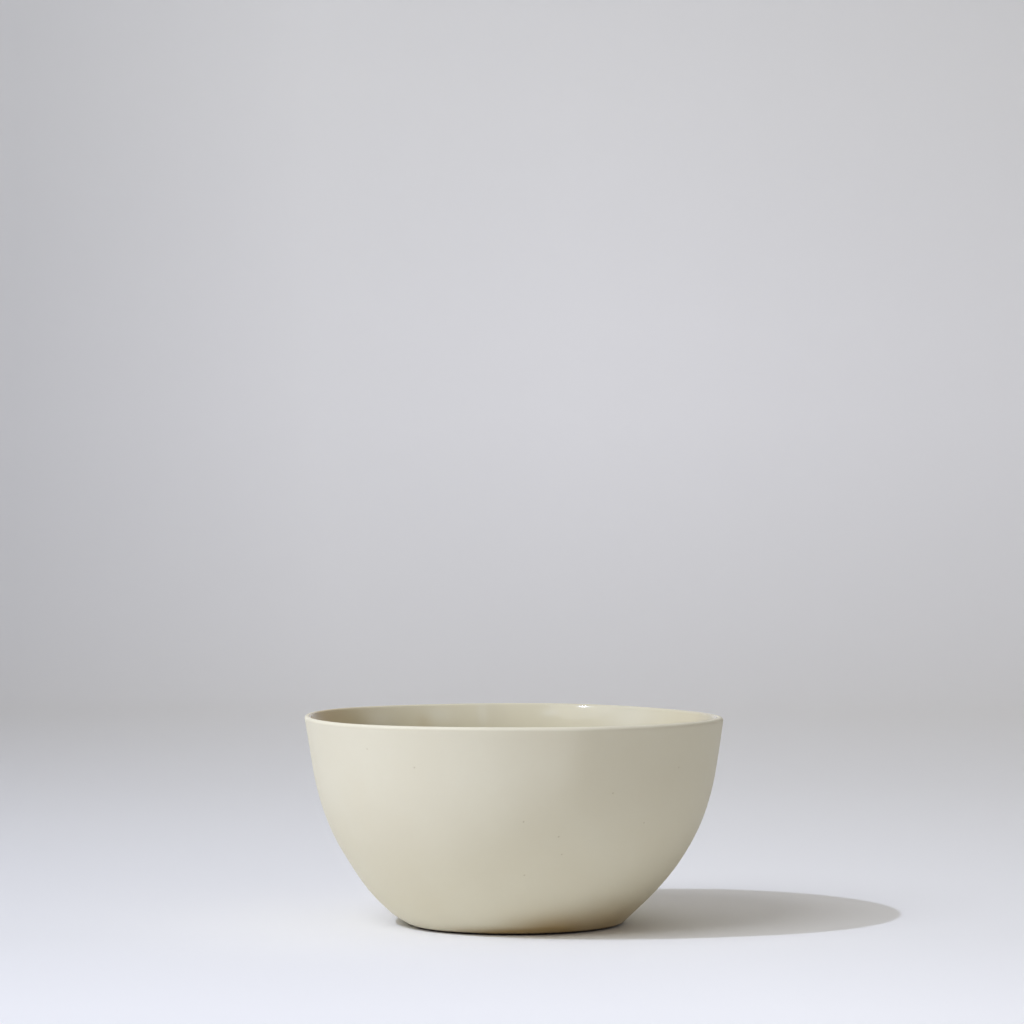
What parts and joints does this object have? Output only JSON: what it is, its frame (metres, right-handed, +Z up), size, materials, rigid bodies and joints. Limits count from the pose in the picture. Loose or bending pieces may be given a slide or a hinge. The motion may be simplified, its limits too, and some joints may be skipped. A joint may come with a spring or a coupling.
{
  "type": "prep bowl",
  "caption": "Open round prep bowl of pale fired clay: flared curved wall that thins to a rounded lip, plain flat foot, bare satin outside and a gloss glaze lining, for holding ingredients.",
  "frame": {"origin": "centre of the plane that the foot stands on", "axes": "+Z up along the bowl's turning axis, +X to the right and +Y away from the viewer in the reference view"},
  "size_m": [0.144, 0.144, 0.072],
  "materials": {
    "bare_clay": "bare fired clay, sanded to a satin",
    "gloss_glaze": "gloss"
  },
  "bodies": {
    "root": {"clay_body": "bare_clay", "inner_glaze": "gloss_glaze"}
  },
  "joints": []
}
